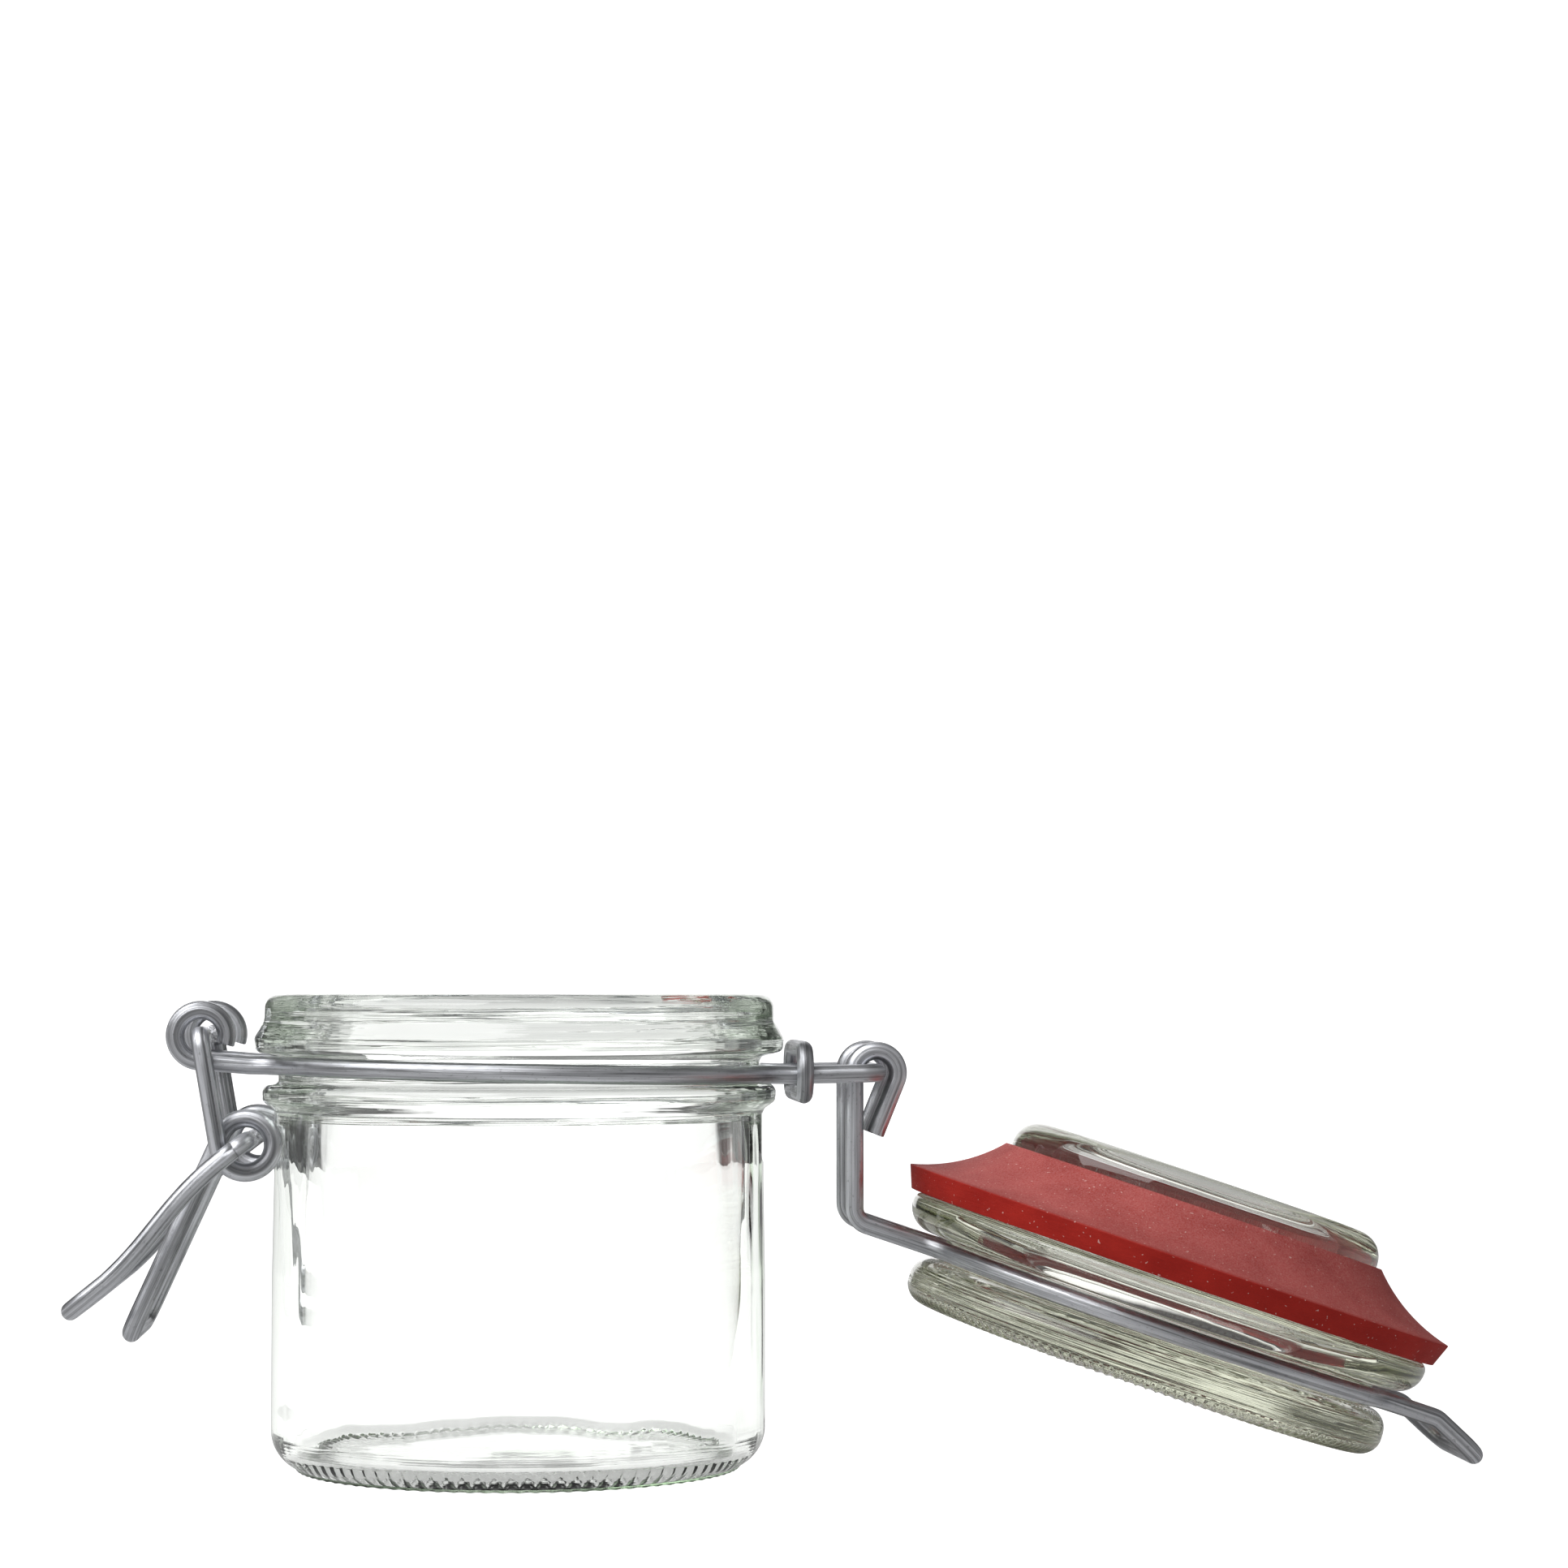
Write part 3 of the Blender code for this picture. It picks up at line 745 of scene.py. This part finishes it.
def rubber_material(name):
    """Red sealing rubber: a pale face, partly a real talc coat and partly a painted sheen, a clean cut
    edge, fine cut lines and pale specks.
    """
    n = Nodes(name)
    grain = n.noise(n.stretched(4.5, 4.5, 4.5), 1.0, 4.0, 0.7)
    patches = n.noise(n.stretched(0.16, 0.16, 0.3), 1.0, 3.0, 0.55)
    streaks = n.noise(n.stretched(0.25, 0.25, 2.4), 1.0, 3.0, 0.6)
    specks = n.noise(n.stretched(2.4, 2.4, 2.4), 1.0, 1.0, 0.4)
    body = n.ramp(patches, (0.3, (0.35, 0.013, 0.008, 1.0)), (0.7, (0.45, 0.021, 0.013, 1.0)))
    face = n.math("SUBTRACT", 1.0, n.between(n.height(), SEAL_OUT - 0.25, SEAL_OUT + 0.1))
    # The pale coat on the face is partly real talc and partly a painted sheen; the cut edge gets none.
    sheen_and_talc_noise = n.math("MULTIPLY_ADD", patches, 0.2, n.math("MULTIPLY", grain, 0.8))
    painted_sheen_and_talc = n.ramp(sheen_and_talc_noise, (0.36, 0.10), (0.68, 0.44))
    body = n.mix(n.math("MULTIPLY", painted_sheen_and_talc, face), body, (0.80, 0.40, 0.38, 1.0))
    body = n.mix(n.ramp(specks, (0.72, 0.0), (0.76, 0.6)), body, (0.84, 0.58, 0.54, 1.0))
    n.principled(base_color=body, roughness=0.7, specular_ior_level=0.2)
    coarse = n.bump(streaks, 0.06, 1.0)
    n.set(n.bsdf.inputs["Normal"], n.bump(grain, 0.05, 1.0, coarse))
    return n.material


# ---------------------------------------------------------------- the pieces

def shift_matrix(x, z, tilt_deg=0.0):
    """From a frame tilted about y, with its origin at x and z, to the row frame."""
    return Matrix.Translation((x * MM, 0.0, z * MM)) @ Matrix.Rotation(math.radians(tilt_deg), 4, "Y")


def add_piece(obj, body, node):
    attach(obj, body)
    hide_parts(node)


def build_pieces():
    jar_glass = glass_material("jar_glass", (0.60, 0.79, 0.54, 1.0), 16.0, 43.0, 0.09)
    lid_glass = glass_material("lid_glass", (0.62, 0.65, 0.45, 1.0), 17.0, KNOB_LOW - 1.0, 0.28)
    rubber = rubber_material("seal_rubber")
    keys = ("neck", "tie", "lid", "lever", "bail")
    steels = {key: steel_material(key + "_steel") for key in keys}

    jar = shift_matrix(AXIS_X, 0.0)
    lid = shift_matrix(HINGE_WORLD_X, HINGE_Z, LID_OPEN_DEG)
    lid_axis = lid @ Matrix.Translation((-HINGE_X * MM, 0.0, 0.0))
    lever = shift_matrix(EYE_WORLD_X, EYE_Z)
    bail = shift_matrix(BAIL_WORLD_X, BAIL_Z)

    vessel = turned("jar_body", jar_outline(), JAR_STEPS, jar, jar_glass, jar_shift, ribbed_foot)
    add_piece(vessel, "jar", "glass_jar")
    cover = turned("lid_body", lid_outline(), LID_STEPS, lid_axis, lid_glass, lid_shift, ribbed_knob)
    add_piece(cover, "lid", "glass_lid")
    ring = turned("rubber_ring", seal_outline(), SEAL_STEPS, lid_axis, rubber, seal_shift, closed=True)
    add_piece(ring, "lid", "sealing_ring")
    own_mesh(ring)

    neck, tie, hooks = mirrored(neck_wire_path()), tie_path(), mirrored(lid_wire_path())
    handle, link = mirrored(lever_path()), mirrored(bail_path())
    # name, path, radius, place, steel, body, node and slot
    wires = (
        ("neck_wire_drawn", neck, WIRE_R, jar, "neck", "jar", "neck_wire", "neck_wire_steel"),
        ("tie_link", tie, TIE_WIRE_R, jar, "tie", "jar", "tie_ring", "tie_ring_steel"),
        ("lid_wire_drawn", hooks, WIRE_R, lid, "lid", "lid", "lid_wire", "lid_wire_steel"),
        ("lever_wire", handle, WIRE_R, lever, "lever", "lever", "closing_lever", "lever_steel"),
        ("bail_wire", link, WIRE_R, bail, "bail", "bail", "bail", "bail_steel"),
    )
    for seed, (name, path, radius, place, key, body, node, slot) in enumerate(wires):
        obj = wire(name, even(path), radius, place, steels[key], seed)
        add_piece(obj, body, node)


# ---------------------------------------------------------------- studio

LENS = 90.55
CAMERA_SIDE = -1.59                 # from the jar's axis, millimetres
CAMERA_BACK = -501.5
CAMERA_PITCH_DEG = 3.05
CAMERA_YAW_DEG = -4.0

# The backdrop's brightness by the angle from the middle of its bright field, degrees
FIELD_CENTRE = (0.05, 1.0, -0.03)
FIELD_SQUEEZE = (1.0, 1.0, 0.2)     # makes the bright field much taller than wide
FIELD = ((0, 1.0), (13, 0.95), (18, 0.08), (50, 0.05), (75, 0.20), (180, 0.26))
BACKDROP_LIGHT = 1.30
BACKDROP_SEEN = 1.3                 # straight to the camera: pure white

LAMP_AT = (-0.24, -0.17, 0.36)
LAMP_SIZE = (0.44, 0.32)
LAMP_WATTS = 1.7


def make_camera():
    """At the rim's height, in front of the jar, looking to the right and slightly up."""
    data = bpy.data.cameras.new("camera")
    data.sensor_width = 36.0
    data.lens = LENS
    camera = bpy.data.objects.new("camera", data)
    bpy.context.scene.collection.objects.link(camera)
    camera.location = ((AXIS_X + CAMERA_SIDE) * MM, CAMERA_BACK * MM, RIM_Z * MM)
    turn = (90.0 + CAMERA_PITCH_DEG, 0.0, CAMERA_YAW_DEG)
    camera.rotation_euler = tuple(math.radians(degrees) for degrees in turn)
    data.clip_start, data.clip_end = 0.01, 20.0
    bpy.context.scene.camera = camera


def make_world():
    """A bright tall field behind the jar, dark beside and high above it, dim grey elsewhere."""
    world = bpy.data.worlds.new("studio")
    bpy.context.scene.world = world
    world.use_nodes = True
    tree = world.node_tree
    tree.nodes.clear()
    new, link = tree.nodes.new, tree.links.new
    where = new("ShaderNodeTexCoord")
    tall = new("ShaderNodeVectorMath")
    tall.operation = "MULTIPLY"
    tall.inputs[1].default_value = FIELD_SQUEEZE
    link(where.outputs["Generated"], tall.inputs[0])
    unit = new("ShaderNodeVectorMath")
    unit.operation = "NORMALIZE"
    link(tall.outputs["Vector"], unit.inputs[0])
    toward = new("ShaderNodeVectorMath")
    toward.operation = "DOT_PRODUCT"
    toward.inputs[1].default_value = Vector(FIELD_CENTRE).normalized()
    link(unit.outputs["Vector"], toward.inputs[0])
    angle = new("ShaderNodeMath")
    angle.operation = "ARCCOSINE"
    link(toward.outputs["Value"], angle.inputs[0])
    share = new("ShaderNodeMath")
    share.operation = "DIVIDE"
    share.inputs[1].default_value = math.pi
    link(angle.outputs[0], share.inputs[0])
    tone = new("ShaderNodeValToRGB")
    elements = tone.color_ramp.elements
    while len(elements) < len(FIELD):
        elements.new(0.5)
    for element, (degrees, grey) in zip(elements, FIELD):
        element.position = degrees / 180.0
        element.color = (grey, grey, grey, 1.0)
    link(share.outputs[0], tone.inputs[0])
    path = new("ShaderNodeLightPath")
    seen = new("ShaderNodeBackground")
    seen.inputs["Color"].default_value = (1.0, 1.0, 1.0, 1.0)
    seen.inputs["Strength"].default_value = BACKDROP_SEEN
    light = new("ShaderNodeBackground")
    light.inputs["Strength"].default_value = BACKDROP_LIGHT
    link(tone.outputs[0], light.inputs["Color"])
    mix = new("ShaderNodeMixShader")
    link(path.outputs["Is Camera Ray"], mix.inputs[0])
    link(light.outputs[0], mix.inputs[1])
    link(seen.outputs[0], mix.inputs[2])
    out = new("ShaderNodeOutputWorld")
    link(mix.outputs[0], out.inputs["Surface"])


def make_floor():
    """A pale floor that glows evenly to the camera like a light table; seen through the glass its glow
    is a painted reflection and painted shade.
    """
    mesh = bpy.data.meshes.new("floor")
    x, near, far = 0.6, -0.14, 0.9
    mesh.from_pydata([(-x, near, 0), (x, near, 0), (x, far, 0), (-x, far, 0)], [], [(0, 1, 2, 3)])
    n = Nodes("floor")
    path = n.add("ShaderNodeLightPath")
    # Through the glass the floor's glow is a painted reflection of the backdrop at a flat angle and
    # painted shade, duller from above.
    facing = n.add("ShaderNodeLayerWeight", {"Blend": 0.5}).outputs["Facing"]
    through = n.ramp(facing, (0.45, 0.22), (0.84, 0.55), (0.90, 0.96))
    through = n.math("MULTIPLY", through, path.outputs["Is Transmission Ray"])
    seen = n.math("MAXIMUM", path.outputs["Is Camera Ray"], through)
    n.principled(base_color=(0.30, 0.30, 0.30, 1.0), roughness=0.9,
                 emission_color=(1.0, 1.0, 1.0, 1.0),
                 emission_strength=n.math("MULTIPLY_ADD", seen, 0.85, 0.25))
    mesh.materials.append(n.material)
    floor = bpy.data.objects.new("floor", mesh)
    floor.location.z = -0.0002
    bpy.context.scene.collection.objects.link(floor)


def make_lights():
    """One soft box above and to the left, aimed at the middle of the assembly."""
    data = bpy.data.lights.new("soft_box", "AREA")
    data.shape = "RECTANGLE"
    data.size, data.size_y = LAMP_SIZE
    data.energy = LAMP_WATTS
    lamp = bpy.data.objects.new("soft_box", data)
    lamp.location = LAMP_AT
    lamp.rotation_euler = (-Vector(LAMP_AT)).to_track_quat("-Z", "Y").to_euler()
    bpy.context.scene.collection.objects.link(lamp)


def set_display():
    scene = bpy.context.scene
    scene.view_settings.view_transform = "Standard"
    scene.view_settings.look = "None"
    scene.cycles.max_bounces = 32
    scene.cycles.transmission_bounces = 32
    scene.cycles.glossy_bounces = 12


build_pieces()
make_camera()
make_world()
make_floor()
make_lights()
set_display()
